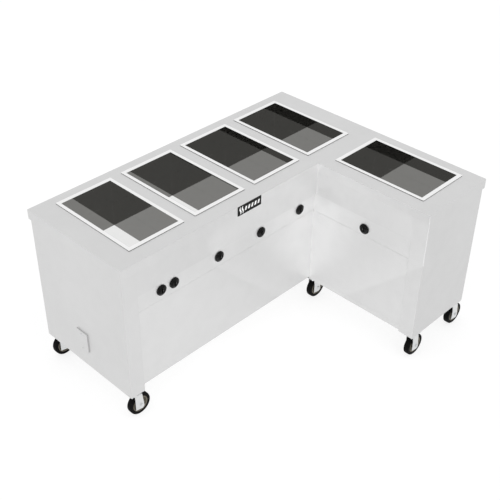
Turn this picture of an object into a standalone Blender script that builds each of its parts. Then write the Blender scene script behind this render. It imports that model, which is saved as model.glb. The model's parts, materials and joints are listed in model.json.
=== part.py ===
"""L-shaped electric hot food table with five wells, standing on six swivel casters.

Metres, +Z up. The floor is Z = 0 and the origin is under the centre of the object's box. The long
leg runs along X at the back and holds four wells. The short leg comes forward, towards -Y, at the
right end and holds the fifth. The knobs face the inner corner of the L, where the server stands.
"""

import math

import bmesh
import bpy
from mathutils import Matrix, Vector

# The worktop
TOP_LENGTH = 1.829
TOP_DEPTH = 1.422
LONG_LEG_DEPTH = 0.711
SHORT_LEG_WIDTH = 0.489
TOP_Z = 0.938
TOP_SHEET = 0.002
EDGE_DROP = 0.054
TOP_OVERHANG = 0.0215

# How far a cutter reaches past a sheet, and how far united shapes run into each other
CUT = 0.01
WELD = 0.001

# The cabinet, of folded sheet
SHEET = 0.0015
GAP = 0.0003
BASE_Z = 0.154
FLANGE_WIDTH = 0.090
RECESS = 0.0235
SHORT_RECESS = 0.0115
APRON_DROP = 0.193
SEAM_DROP = 0.311
SEAM_GAP = 0.0008
PANEL_RETURN = 0.015
CORNER_RETURN = 0.025
SUPPORT_RETURN = 0.020
PANEL_LIFT = 0.0116
RAIL_HEIGHT = 0.026
SIDE_RISE = 0.030
TUBE_SIZE = (0.040, 0.030)
TUBE_CLEARANCE = 0.020

# The wells
WELL_OPENING = (0.304, 0.519)
WELL_RIM = (0.342, 0.565)
WELL_WALL = 0.0015
RIM_THICKNESS = 0.0027
WELL_DEPTH = 0.138
CUTOUT_CLEARANCE = 0.0015
WELL_PITCH = 0.4103
LONG_WELL_FROM_BACK = 0.3395
SHORT_WELL_FROM_RIGHT = 0.2335
SHORT_WELL_FROM_BACK = 1.0369

# The heating elements, bent from tube and clamped under the wells
ELEMENT_RADIUS = 0.004
ELEMENT_WIDTH = 0.240
ELEMENT_LENGTH = 0.420
ELEMENT_RUNS = 4

# The controls
KNOB_DROP = 0.254
SHORT_KNOB_DROP = 0.2675
MASTER_FROM_LEFT = 0.250
FIRST_KNOB_FROM_LEFT = 0.331
KNOB_PITCH = 0.301
KNOB_RADIUS = 0.029
KNOB_STAND_OFF = 0.001
KNOB_SKIRT = 0.0045
KNOB_CONE_FOOT = 0.024
KNOB_CONE_TOP = 0.016
KNOB_HEIGHT = 0.0125
POINTER_SIZE = (0.008, 0.024)
POINTER_HEIGHT = 0.0165
SPINDLE_RADIUS = 0.003
SPINDLE_LENGTH = 0.022
SWITCH_SIZE = 0.044
SWITCH_DEPTH = 0.034
TURNING_GAP = 0.0004

# The casters
WHEEL_RADIUS = 0.0635
WHEEL_WIDTH = 0.032
HUB_RADIUS = 0.046
WHEEL_SEGMENTS = 24
AXLE_RADIUS = 0.006
CASTER_TRAIL = 0.018
CASTER_INSET_X = 0.047
CASTER_INSET_Y = 0.030
INNER_CASTER_INSET = (0.055, 0.024)
CASTER_PLATE_SIZE = (0.090, 0.060)
CASTER_PLATE_THICKNESS = 0.004
RACE_RADIUS = 0.026
RACE_HEIGHT = 0.007
CROWN_BOTTOM_Z = 0.131
PIN_RADIUS = 0.005
PIN_NUT_RADIUS = 0.008
PIN_NUT_HEIGHT = 0.0022
BOLT_HEAD_RADIUS = 0.009
BOLT_HEAD_HEIGHT = 0.003
LEG_THICKNESS = 0.003
LEG_GAP = 0.041
LEG_HEEL = (-0.018, 0.0445)
LEG_TOE = (0.023, 0.056)
LEG_TOE_RADIUS = 0.019

# Trim
NAMEPLATE_SIZE = (0.166, 0.054)
NAMEPLATE_THICKNESS = 0.0012
NAMEPLATE_FROM_LEFT = 0.8215
NAMEPLATE_DROP = 0.0296
COVER_DEPTH = 0.008
COVER_WIDTH = 0.088
COVER_HEIGHT = 0.119
COVER_FROM_BACK = 0.351
COVER_DROP = 0.6245

# Places that follow from the sizes above
WHEEL_OVERHANG = CASTER_TRAIL + WHEEL_RADIUS - CASTER_INSET_X - TOP_OVERHANG
LEFT = (COVER_DEPTH + GAP - WHEEL_OVERHANG - TOP_LENGTH) / 2
RIGHT = LEFT + TOP_LENGTH
BACK = TOP_DEPTH / 2
END = -TOP_DEPTH / 2
FRONT = BACK - LONG_LEG_DEPTH
INNER = RIGHT - SHORT_LEG_WIDTH
BODY_RIGHT = RIGHT - TOP_OVERHANG
BODY_BACK = BACK - TOP_OVERHANG
SKIRT_Z = TOP_Z - EDGE_DROP
BODY_TOP_Z = SKIRT_Z - GAP
UNDER_TOP_Z = TOP_Z - TOP_SHEET - GAP
APRON_Z = TOP_Z - APRON_DROP
SEAM_Z = TOP_Z - SEAM_DROP
RIM_Z = TOP_Z + GAP
RIM_TOP_Z = RIM_Z + RIM_THICKNESS
WELL_FLOOR_Z = RIM_TOP_Z - WELL_DEPTH
PAN_Z = BASE_Z + SHEET + GAP
PANEL_LOW_Z = BASE_Z + PANEL_LIFT
CASTER_TOP_Z = BASE_Z - GAP
CASTER_PLATE_Z = CASTER_TOP_Z - CASTER_PLATE_THICKNESS
RACE_Z = CASTER_PLATE_Z - RACE_HEIGHT


# --- Shapes -------------------------------------------------------------------------------------

AXES = {
    "X": Matrix(((0, 0, 1, 0), (1, 0, 0, 0), (0, 1, 0, 0), (0, 0, 0, 1))),
    "Y": Matrix(((1, 0, 0, 0), (0, 0, -1, 0), (0, 1, 0, 0), (0, 0, 0, 1))),
    "Z": Matrix.Identity(4),
}


def new_object(name, mesh):
    """An object of this mesh, linked to the scene."""
    obj = bpy.data.objects.new(name, mesh)
    bpy.context.scene.collection.objects.link(obj)
    return obj


def prism(outline, low, high, axis="Z"):
    """A helper object: an outline extruded from low to high along an axis.

    The outline's two numbers are X and Y for axis Z, Y and Z for axis X, and X and Z for axis Y.
    """
    turn = AXES[axis]
    if axis == "Y":
        low, high = -high, -low
    shape = bmesh.new()
    base = [shape.verts.new(turn @ Vector((u, v, low))) for u, v in outline]
    face = shape.faces.new(base)
    swept = bmesh.ops.extrude_face_region(shape, geom=[face])
    moved = [item for item in swept["geom"] if isinstance(item, bmesh.types.BMVert)]
    direction = turn.to_3x3() @ Vector((0, 0, high - low))
    bmesh.ops.translate(shape, verts=moved, vec=direction)
    bmesh.ops.recalc_face_normals(shape, faces=shape.faces)
    mesh = bpy.data.meshes.new("prism")
    shape.to_mesh(mesh)
    shape.free()
    return new_object("prism", mesh)


def rectangle(low_u, low_v, high_u, high_v):
    """The four corners of a rectangle, anticlockwise."""
    return [(low_u, low_v), (high_u, low_v), (high_u, high_v), (low_u, high_v)]


def circle(centre, radius, sides):
    """The corners of a regular polygon round a centre, with a flat at its lowest side."""
    angles = [math.pi * (2 * step + 1) / sides for step in range(sides)]
    return [(centre[0] + radius * math.cos(a), centre[1] + radius * math.sin(a)) for a in angles]


def block(low, high):
    """A helper object: a box between two corners."""
    return prism(rectangle(low[0], low[1], high[0], high[1]), low[2], high[2])


def turned(profile, segments, phase=0.0):
    """A helper object: a closed profile of (radius, height) points turned about Z."""
    shape = bmesh.new()
    rings = []
    for radius, height in profile:
        if radius == 0:
            rings.append([shape.verts.new((0, 0, height))])
            continue
        ring = []
        for step in range(segments):
            angle = phase + 2 * math.pi * step / segments
            ring.append(shape.verts.new((radius * math.cos(angle), radius * math.sin(angle), height)))
        rings.append(ring)
    for inner, outer in zip(rings, rings[1:] + rings[:1]):
        if len(inner) == 1 and len(outer) == 1:
            continue
        for step in range(segments):
            after = (step + 1) % segments
            corners = [inner[step % len(inner)], inner[after % len(inner)]]
            corners += [outer[after % len(outer)], outer[step % len(outer)]]
            shape.faces.new(list(dict.fromkeys(corners)))
    bmesh.ops.recalc_face_normals(shape, faces=shape.faces)
    mesh = bpy.data.meshes.new("turned")
    shape.to_mesh(mesh)
    shape.free()
    return new_object("turned", mesh)


def disc(radius, low, high, segments):
    """A helper object: a plain cylinder about Z."""
    return turned([(0, low), (radius, low), (radius, high), (0, high)], segments)


def combined(first, added=(), removed=()):
    """The mesh of first with added joined to it and removed cut from it. The helpers are deleted."""
    for operation, others in (("UNION", added), ("DIFFERENCE", removed)):
        for other in others:
            modifier = first.modifiers.new(operation.title(), "BOOLEAN")
            modifier.operation = operation
            modifier.object = other
    bpy.context.view_layer.update()
    evaluated = first.evaluated_get(bpy.context.evaluated_depsgraph_get())
    mesh = bpy.data.meshes.new_from_object(evaluated)
    for helper in (first, *added, *removed):
        bpy.data.objects.remove(helper)
    return mesh


def placed(mesh, name, finish, location=(0, 0, 0), rotation=(0, 0, 0), parent=None, smooth=False):
    """A named sub-part of this mesh, in this finish, at a place given in its parent's frame."""
    if smooth:
        mesh.shade_smooth()
        mesh.set_sharp_from_angle(angle=math.radians(35))
    mesh.materials.clear()
    mesh.materials.append(finish)
    obj = new_object(name, mesh)
    obj.location = location
    obj.rotation_euler = rotation
    obj.parent = parent
    return obj


def empty(name, location, rotation=(0, 0, 0), parent=None):
    """A joint's frame: the pieces that turn together are its children."""
    obj = new_object(name, None)
    obj.location = location
    obj.rotation_euler = rotation
    obj.parent = parent
    return obj


def l_outline(inset):
    """The plan of the L, with every side moved in by this much."""
    return [
        (LEFT + inset, FRONT + inset),
        (INNER + inset, FRONT + inset),
        (INNER + inset, END + inset),
        (RIGHT - inset, END + inset),
        (RIGHT - inset, BACK - inset),
        (LEFT + inset, BACK - inset),
    ]


def sheet_outline(path, thickness):
    """The section of a sheet folded along an open path, its thickness on the path's left."""
    points = [Vector(point) for point in path]
    runs = [(end - start).normalized() for start, end in zip(points, points[1:])]
    normals = [Vector((-run.y, run.x)) * thickness for run in runs]
    offsets = [normals[0]]
    for before, after in zip(normals, normals[1:]):
        offsets.append(before + after)
    offsets.append(normals[-1])
    inside = [point + offset for point, offset in zip(points, offsets)]
    return [tuple(point) for point in points + inside[::-1]]


def finish(name, color, roughness, metallic):
    """A plain Principled material."""
    material = bpy.data.materials.new(name)
    material.use_nodes = True
    shader = material.node_tree.nodes["Principled BSDF"]
    shader.inputs["Base Color"].default_value = (*color, 1.0)
    shader.inputs["Roughness"].default_value = roughness
    shader.inputs["Metallic"].default_value = metallic
    return material


# --- Worktop and wells --------------------------------------------------------------------------


def well_centres():
    """The plan centres of the wells: four along the long leg, then the one on the short leg."""
    middle = (LEFT + RIGHT) / 2
    across = [middle + (index - 1.5) * WELL_PITCH for index in range(4)]
    long_wells = [(x, BACK - LONG_WELL_FROM_BACK) for x in across]
    return long_wells + [(RIGHT - SHORT_WELL_FROM_RIGHT, BACK - SHORT_WELL_FROM_BACK)]


def centred(centre, size, margin=0.0):
    """The plan rectangle of this size round a centre, grown by a margin on every side."""
    half_x = size[0] / 2 + margin
    half_y = size[1] / 2 + margin
    return rectangle(centre[0] - half_x, centre[1] - half_y, centre[0] + half_x, centre[1] + half_y)


def build_countertop():
    """One L-shaped sheet with its edges turned down and a cut-out for each well."""
    hollow = prism(l_outline(TOP_SHEET), SKIRT_Z - CUT, TOP_Z - TOP_SHEET)
    margin = WELL_WALL + CUTOUT_CLEARANCE
    cutouts = []
    for centre in well_centres():
        outline = centred(centre, WELL_OPENING, margin)
        cutouts.append(prism(outline, TOP_Z - CUT, TOP_Z + CUT))
    mesh = combined(prism(l_outline(0), SKIRT_Z, TOP_Z), removed=[hollow, *cutouts])
    placed(mesh, "countertop", finish("stainless_top", (0.68, 0.68, 0.68), 0.35, 0.9))


def build_wells():
    """Five pressed liners: a flat rim that lies on the worktop, and a deep tub for the pan."""
    steel = finish("stainless_well", (0.75, 0.75, 0.75), 0.15, 1.0)
    origin = (0, 0)
    rim = prism(centred(origin, WELL_RIM), RIM_Z, RIM_TOP_Z)
    tub = prism(centred(origin, WELL_OPENING, WELL_WALL), WELL_FLOOR_Z - WELL_WALL, RIM_TOP_Z)
    inside = prism(centred(origin, WELL_OPENING), WELL_FLOOR_Z, RIM_TOP_Z + CUT)
    mesh = combined(rim, added=[tub], removed=[inside])
    for number, (x, y) in enumerate(well_centres(), start=1):
        placed(mesh, f"well_{number}", steel, location=(x, y, 0))


def element_route():
    """The centre line of an element: straight runs along Y, joined by round bends."""
    pitch = ELEMENT_WIDTH / (ELEMENT_RUNS - 1)
    bend = pitch / 2
    reach = ELEMENT_LENGTH / 2 - bend
    bend_steps = 6
    points = []
    for run in range(ELEMENT_RUNS):
        x = run * pitch - ELEMENT_WIDTH / 2
        direction = 1 if run % 2 == 0 else -1
        points.append((x, -direction * reach))
        if run == ELEMENT_RUNS - 1:
            points.append((x, direction * reach))
            continue
        for step in range(bend_steps):
            angle = math.pi * step / bend_steps
            along = reach + bend * math.sin(angle)
            points.append((x + bend - bend * math.cos(angle), direction * along))
    return points


def build_heating_elements():
    """A serpentine tube under each well's floor."""
    sheath = finish("element_sheath", (0.16, 0.15, 0.15), 0.5, 0.7)
    height = WELL_FLOOR_Z - WELL_WALL - GAP - ELEMENT_RADIUS
    curve = bpy.data.curves.new("heating_element", "CURVE")
    curve.dimensions = "3D"
    curve.bevel_depth = ELEMENT_RADIUS
    curve.bevel_resolution = 1
    curve.use_fill_caps = True
    route = element_route()
    spline = curve.splines.new("POLY")
    spline.points.add(len(route) - 1)
    for point, (x, y) in zip(spline.points, route):
        point.co = (x, y, 0, 1)
    curve.materials.append(sheath)
    for number, (x, y) in enumerate(well_centres(), start=1):
        obj = new_object(f"heating_element_{number}", curve)
        obj.location = (x, y, height)


# --- Cabinet ------------------------------------------------------------------------------------


def build_end_panel_left(steel):
    """The left end: a sheet folded round both corners, with a base return under the cabinet."""
    path = [
        (LEFT + FLANGE_WIDTH, FRONT + RECESS + PANEL_RETURN),
        (LEFT + FLANGE_WIDTH, FRONT),
        (LEFT, FRONT),
        (LEFT, BODY_BACK),
        (LEFT + CORNER_RETURN, BODY_BACK),
    ]
    sheet = prism(sheet_outline(path[::-1], SHEET), BASE_Z, BODY_TOP_Z)
    base = block((LEFT, FRONT, BASE_Z), (LEFT + SUPPORT_RETURN, BODY_BACK, BASE_Z + SHEET))
    placed(combined(sheet, added=[base]), "end_panel_left", steel)


def build_end_panel_front(steel):
    """The end of the short leg, folded like the left end."""
    path = [
        (INNER + RECESS + PANEL_RETURN, END + FLANGE_WIDTH),
        (INNER, END + FLANGE_WIDTH),
        (INNER, END),
        (BODY_RIGHT - SHEET - GAP, END),
    ]
    sheet = prism(sheet_outline(path, SHEET), BASE_Z, BODY_TOP_Z)
    base = block(
        (INNER, END, BASE_Z), (BODY_RIGHT - SHEET - GAP, END + SUPPORT_RETURN, BASE_Z + SHEET)
    )
    placed(combined(sheet, added=[base]), "end_panel_front", steel)


def build_side_panel_right(steel):
    """The long right side, under the worktop's overhang, with a return at the back corner."""
    top = SKIRT_Z + SIDE_RISE
    notch = 0.005
    path = [(BODY_RIGHT, END), (BODY_RIGHT, BODY_BACK), (BODY_RIGHT - CORNER_RETURN, BODY_BACK)]
    sheet = prism(sheet_outline(path, SHEET), BASE_Z, top)
    low_y = END + SHEET + SUPPORT_RETURN + GAP
    inside = BODY_RIGHT - SUPPORT_RETURN
    base = block((inside, low_y, BASE_Z), (BODY_RIGHT, BODY_BACK, BASE_Z + SHEET))
    corner_low = (BODY_RIGHT - CUT, END - CUT, SKIRT_Z - GAP)
    corner = block(corner_low, (BODY_RIGHT + CUT, END + notch, top + CUT))
    placed(combined(sheet, added=[base], removed=[corner]), "side_panel_right", steel)


def build_back_panel(steel):
    """The back of the long leg, a flat sheet with a return at its top and its bottom."""
    low_x = LEFT + CORNER_RETURN + GAP
    high_x = BODY_RIGHT - CORNER_RETURN - GAP
    inside = BODY_BACK - SUPPORT_RETURN
    path = [
        (inside, BASE_Z),
        (BODY_BACK, BASE_Z),
        (BODY_BACK, UNDER_TOP_Z),
        (inside, UNDER_TOP_Z),
    ]
    placed(combined(prism(sheet_outline(path, SHEET), low_x, high_x, "X")), "back_panel", steel)


def front_strip(depth, thickness, low, high):
    """A helper object: a strip that follows the inner corner of the L, set back by depth."""
    path = [
        (INNER + depth, END + FLANGE_WIDTH + GAP),
        (INNER + depth, FRONT + depth),
        (LEFT + FLANGE_WIDTH + GAP, FRONT + depth),
    ]
    return prism(sheet_outline(path[::-1], thickness), low, high)


def build_front_apron(steel):
    """The fascia under the worktop's edge, bent round the inner corner of the L."""
    face = front_strip(0, SHEET, APRON_Z, BODY_TOP_Z)
    shelf = front_strip(0, RECESS + PANEL_RETURN, APRON_Z, APRON_Z + SHEET)
    ledge = front_strip(0, SUPPORT_RETURN, BODY_TOP_Z - SHEET, BODY_TOP_Z)
    placed(combined(face, added=[shelf, ledge]), "front_apron", steel)


def panel_section(face, low, high):
    """The section of a recessed panel, with a return at its top and bottom."""
    back = face + PANEL_RETURN
    return sheet_outline([(back, high), (face, high), (face, low), (back, low)], SHEET)


def long_panel(low, high):
    """A helper object: a recessed panel along the long leg."""
    start = LEFT + FLANGE_WIDTH + GAP
    return prism(panel_section(FRONT + RECESS, low, high), start, INNER + SHORT_RECESS - GAP, "X")


def short_panel(low, high):
    """A helper object: a recessed panel along the short leg."""
    start = END + FLANGE_WIDTH + GAP
    end = FRONT + RECESS + SHEET
    return prism(panel_section(INNER + SHORT_RECESS, low, high), start, end, "Y")


def build_control_panels(steel):
    """The strips that carry the knobs, with a hole for each spindle."""
    low = SEAM_Z + SEAM_GAP / 2
    high = APRON_Z - GAP
    hole_radius = SPINDLE_RADIUS + 0.002
    face = FRONT + RECESS
    holes = []
    for x in long_knob_places():
        outline = circle((x, TOP_Z - KNOB_DROP), hole_radius, 12)
        holes.append(prism(outline, face - CUT, face + CUT, "Y"))
    placed(combined(long_panel(low, high), removed=holes), "control_panel_long", steel)
    face = INNER + SHORT_RECESS
    outline = circle((BACK - SHORT_WELL_FROM_BACK, TOP_Z - SHORT_KNOB_DROP), hole_radius, 12)
    hole = prism(outline, face - CUT, face + CUT, "X")
    placed(combined(short_panel(low, high), removed=[hole]), "control_panel_short", steel)


def build_lower_panels(steel):
    """The plain panels below the knobs, which lift off for service. The short one is longer."""
    high = SEAM_Z - SEAM_GAP / 2
    placed(combined(long_panel(PANEL_LOW_Z, high)), "lower_panel_long", steel)
    placed(combined(short_panel(BASE_Z, high)), "lower_panel_short", steel)


def build_bottom_pan(steel):
    """The cabinet's floor: an L-shaped sheet with a rail along its front edges."""
    edge = RECESS + PANEL_RETURN + GAP
    wall = SHEET + GAP
    outline = [
        (LEFT + wall, FRONT + edge),
        (INNER + edge, FRONT + edge),
        (INNER + edge, END + wall),
        (BODY_RIGHT - wall, END + wall),
        (BODY_RIGHT - wall, BODY_BACK - wall),
        (LEFT + wall, BODY_BACK - wall),
    ]
    floor = prism(outline, PAN_Z, PAN_Z + SHEET)
    rail = front_strip(edge, SHEET, BASE_Z, BASE_Z + RAIL_HEIGHT)
    placed(combined(floor, added=[rail]), "bottom_pan", steel)


def build_base_frame():
    """Square tubes on the cabinet's floor that tie the caster corners together."""
    steel = finish("frame_steel", (0.40, 0.40, 0.40), 0.5, 0.8)
    half = TUBE_SIZE[0] / 2
    low = PAN_Z + SHEET + GAP
    high = low + TUBE_SIZE[1]
    clear = TUBE_CLEARANCE
    left_x = LEFT + CASTER_INSET_X
    inner_x = INNER + CASTER_INSET_X + clear
    right_x = BODY_RIGHT - CASTER_INSET_X
    spine_y = (FRONT + BODY_BACK) / 2
    front_y = FRONT + RECESS + PANEL_RETURN + clear
    back_y = BODY_BACK - clear
    end_y = END + CASTER_INSET_Y + half
    spine = block((left_x, spine_y - half, low), (right_x, spine_y + half, high))
    members = [
        block((left_x - half, front_y, low), (left_x + half, back_y, high)),
        block((inner_x - half, front_y, low), (inner_x + half, back_y, high)),
        block((right_x - half, end_y - half, low), (right_x + half, back_y, high)),
        block((inner_x - half, end_y - half, low), (right_x, end_y + half, high)),
    ]
    placed(combined(spine, added=members), "base_frame", steel)


def build_cabinet():
    """Every fixed sheet of the cabinet."""
    steel = finish("stainless_body", (0.70, 0.70, 0.70), 0.35, 0.9)
    build_end_panel_left(steel)
    build_end_panel_front(steel)
    build_side_panel_right(steel)
    build_back_panel(steel)
    build_front_apron(steel)
    build_control_panels(steel)
    build_lower_panels(steel)
    build_bottom_pan(steel)


# --- Controls and trim --------------------------------------------------------------------------


def long_knob_places():
    """The X of each knob on the long leg: the master switch, then one for each well."""
    first = LEFT + FIRST_KNOB_FROM_LEFT
    return [LEFT + MASTER_FROM_LEFT] + [first + index * KNOB_PITCH for index in range(4)]


def knob_mesh():
    """A low knob: a skirt, a cone and a pointer. It faces +Z, and its spindle runs below Z = 0."""
    base = KNOB_STAND_OFF
    edge = 0.0010
    profile = [
        (0, KNOB_HEIGHT),
        (KNOB_CONE_TOP - edge, KNOB_HEIGHT),
        (KNOB_CONE_TOP, KNOB_HEIGHT - edge),
        (KNOB_CONE_FOOT, base + KNOB_SKIRT + edge),
        (KNOB_RADIUS - edge, base + KNOB_SKIRT),
        (KNOB_RADIUS, base + KNOB_SKIRT - edge),
        (KNOB_RADIUS, base),
        (SPINDLE_RADIUS, base),
        (SPINDLE_RADIUS, -SPINDLE_LENGTH),
        (0, -SPINDLE_LENGTH),
    ]
    half_x = POINTER_SIZE[0] / 2
    half_y = POINTER_SIZE[1] / 2
    pointer = block((-half_x, -half_y, KNOB_HEIGHT - WELD), (half_x, half_y, POINTER_HEIGHT))
    return combined(turned(profile, 24), added=[pointer])


def switch_mesh():
    """A switch body behind the panel, with a round socket for the spindle in its front."""
    front = -SHEET - GAP
    half = SWITCH_SIZE / 2
    body = block((-half, -half, front - SWITCH_DEPTH), (half, half, front))
    socket = disc(SPINDLE_RADIUS + TURNING_GAP, -SPINDLE_LENGTH - TURNING_GAP, CUT, 12)
    return combined(body, removed=[socket])


def build_controls():
    """Six switches, each with its knob on an empty whose Z axis is the spindle."""
    plastic = finish("black_plastic", (0.012, 0.012, 0.012), 0.4, 0.0)
    moulding = finish("switch_body", (0.20, 0.17, 0.12), 0.6, 0.0)
    knob = knob_mesh()
    switch = switch_mesh()
    toward_front = (math.pi / 2, 0, 0)
    toward_left = (math.pi / 2, 0, -math.pi / 2)
    places = [((x, FRONT + RECESS, TOP_Z - KNOB_DROP), toward_front) for x in long_knob_places()]
    short_place = (INNER + SHORT_RECESS, BACK - SHORT_WELL_FROM_BACK, TOP_Z - SHORT_KNOB_DROP)
    places.append((short_place, toward_left))
    names = ["master", "well_1", "well_2", "well_3", "well_4", "well_5"]
    for name, (location, rotation) in zip(names, places):
        placed(switch, f"switch_{name}", moulding, location, rotation)
        spindle = empty(f"spindle_{name}", location, rotation)
        placed(knob, f"knob_{name}", plastic, parent=spindle, smooth=True)


def build_nameplate():
    """A blank black plate on the worktop's front edge."""
    black = finish("nameplate_black", (0.01, 0.01, 0.01), 0.35, 0.0)
    centre = (LEFT + NAMEPLATE_FROM_LEFT, TOP_Z - NAMEPLATE_DROP)
    face = FRONT - GAP
    plate = prism(centred(centre, NAMEPLATE_SIZE), face - NAMEPLATE_THICKNESS, face, "Y")
    placed(combined(plate), "nameplate", black)


def build_power_cover():
    """A shallow tray, open at its back, over the place where power comes in at the left end."""
    steel = finish("cover_steel", (0.70, 0.70, 0.70), 0.35, 0.9)
    centre = (BACK - COVER_FROM_BACK, TOP_Z - COVER_DROP)
    size = (COVER_WIDTH, COVER_HEIGHT)
    back = LEFT - GAP
    front = back - COVER_DEPTH
    tray = prism(centred(centre, size), front, back, "X")
    hollow = prism(centred(centre, size, -SHEET), front + SHEET, back + CUT, "X")
    placed(combined(tray, removed=[hollow]), "power_inlet_cover", steel)


# --- Casters ------------------------------------------------------------------------------------


def caster_places():
    """The swivel axes: the corners of the L, in order round it from the left front."""
    left_x = LEFT + CASTER_INSET_X
    inner_x = INNER + CASTER_INSET_X
    right_x = BODY_RIGHT - CASTER_INSET_X
    front_y = FRONT + CASTER_INSET_Y
    back_y = BODY_BACK - CASTER_INSET_Y
    end_y = END + CASTER_INSET_Y
    return {
        "left_front": (left_x, front_y),
        "inner_corner": (INNER + INNER_CASTER_INSET[0], FRONT + INNER_CASTER_INSET[1]),
        "short_leg_left": (inner_x, end_y),
        "short_leg_right": (right_x, end_y),
        "right_back": (right_x, back_y),
        "left_back": (left_x, back_y),
    }


def caster_plate_mesh():
    """The bolted plate, with the fixed half of the swivel race and the king pin under it."""
    plate = prism(centred((0, 0), CASTER_PLATE_SIZE), CASTER_PLATE_Z, CASTER_TOP_Z)
    crown_z = CROWN_BOTTOM_Z - GAP
    nut_z = crown_z - PIN_NUT_HEIGHT
    lip = 0.002
    race_and_pin = [
        (0, CASTER_PLATE_Z + WELD),
        (RACE_RADIUS, CASTER_PLATE_Z + WELD),
        (RACE_RADIUS, RACE_Z + lip),
        (RACE_RADIUS - 2 * lip, RACE_Z),
        (PIN_RADIUS, RACE_Z),
        (PIN_RADIUS, crown_z),
        (PIN_NUT_RADIUS, crown_z),
        (PIN_NUT_RADIUS, nut_z),
        (0, nut_z),
    ]
    return combined(plate, added=[turned(race_and_pin, 16)])


def leg_outline():
    """The X-Z outline of a fork leg: upright at its heel, with a rounded toe under the axle."""
    toe_x, toe_z = LEG_TOE
    top_z = CROWN_BOTTOM_Z + 0.009
    start = math.radians(-100)
    end = math.radians(10)
    steps = 5
    points = [(LEG_HEEL[0], top_z), LEG_HEEL]
    for step in range(steps + 1):
        angle = start + (end - start) * step / steps
        x = toe_x + LEG_TOE_RADIUS * math.cos(angle)
        points.append((x, toe_z + LEG_TOE_RADIUS * math.sin(angle)))
    points.append((RACE_RADIUS, top_z))
    return points


def fork_mesh():
    """The swivelling fork: a round crown, two legs, and the axle bolt through them."""
    crown_top = RACE_Z - GAP
    half_gap = LEG_GAP / 2
    crown_profile = [
        (PIN_RADIUS + WELD, CROWN_BOTTOM_Z),
        (RACE_RADIUS, CROWN_BOTTOM_Z),
        (RACE_RADIUS - WELD, crown_top),
        (PIN_RADIUS + WELD, crown_top),
    ]
    legs = []
    for low in (-half_gap - LEG_THICKNESS, half_gap):
        legs.append(prism(leg_outline(), low, low + LEG_THICKNESS, "Y"))
    outside = half_gap + LEG_THICKNESS
    half_bolt = [
        (0, outside + BOLT_HEAD_HEIGHT),
        (BOLT_HEAD_RADIUS, outside + BOLT_HEAD_HEIGHT),
        (BOLT_HEAD_RADIUS, outside - WELD),
        (AXLE_RADIUS, outside - WELD),
    ]
    bolt = turned(half_bolt + [(radius, -height) for radius, height in half_bolt[::-1]], 8)
    bolt.location = (CASTER_TRAIL, 0, WHEEL_RADIUS)
    bolt.rotation_euler = (math.pi / 2, 0, 0)
    return combined(turned(crown_profile, 20), added=[*legs, bolt])


def wheel_turned(profile):
    """The mesh of a wheel part about the axle. One flat of its facets faces straight down."""
    phase = math.pi / WHEEL_SEGMENTS
    return combined(turned(profile, WHEEL_SEGMENTS, phase))


def tyre_mesh():
    """The tread ring, with a flat face and softened shoulders."""
    grow = 1 / math.cos(math.pi / WHEEL_SEGMENTS)
    half = WHEEL_WIDTH / 2
    inner = (HUB_RADIUS + GAP) * grow
    outer = WHEEL_RADIUS * grow
    shoulder = 0.003
    side = [
        (inner, half - WELD),
        (outer - shoulder, half - WELD),
        (outer, half - WELD - shoulder),
    ]
    return wheel_turned(side + [(radius, -y) for radius, y in side[::-1]])


def hub_mesh():
    """The wheel's core: a boss on the axle, a thinner web and a rim under the tyre."""
    half = WHEEL_WIDTH / 2
    boss = half + 0.003
    web = half - 0.006
    side = [
        (AXLE_RADIUS + TURNING_GAP, boss),
        (2 * AXLE_RADIUS, boss),
        (2 * AXLE_RADIUS + 0.002, web),
        (HUB_RADIUS, half - WELD),
    ]
    return wheel_turned(side + [(radius, -y) for radius, y in side[::-1]])


def build_casters():
    """Six casters. A fork turns on its swivel empty, and a wheel on its axle empty."""
    zinc = finish("caster_zinc", (0.62, 0.62, 0.62), 0.35, 0.9)
    rubber = finish("tyre_rubber", (0.006, 0.006, 0.006), 0.6, 0.0)
    polymer = finish("hub_polymer", (0.16, 0.14, 0.11), 0.5, 0.0)
    plate = caster_plate_mesh()
    fork = fork_mesh()
    tyre = tyre_mesh()
    hub = hub_mesh()
    for name, (x, y) in caster_places().items():
        placed(plate, f"caster_plate_{name}", zinc, location=(x, y, 0))
        swivel = empty(f"swivel_{name}", (x, y, 0))
        placed(fork, f"caster_fork_{name}", zinc, parent=swivel, smooth=True)
        axle = empty(
            f"axle_{name}", (CASTER_TRAIL, 0, WHEEL_RADIUS), (math.pi / 2, 0, 0), parent=swivel
        )
        placed(tyre, f"tyre_{name}", rubber, parent=axle, smooth=True)
        placed(hub, f"wheel_hub_{name}", polymer, parent=axle, smooth=True)


def build_object():
    """The whole table, in an emptied scene."""
    for obj in list(bpy.data.objects):
        bpy.data.objects.remove(obj)
    build_countertop()
    build_wells()
    build_heating_elements()
    build_cabinet()
    build_base_frame()
    build_controls()
    build_nameplate()
    build_power_cover()
    build_casters()


build_object()
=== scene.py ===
"""The looks of the L-shaped hot food table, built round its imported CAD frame.

Metres, +Z up, in the CAD's own frame. Places come from the boxes of the CAD's nodes and its joints.
"""

import json
import math

import bmesh
import bpy
from mathutils import Matrix, Vector


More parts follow.
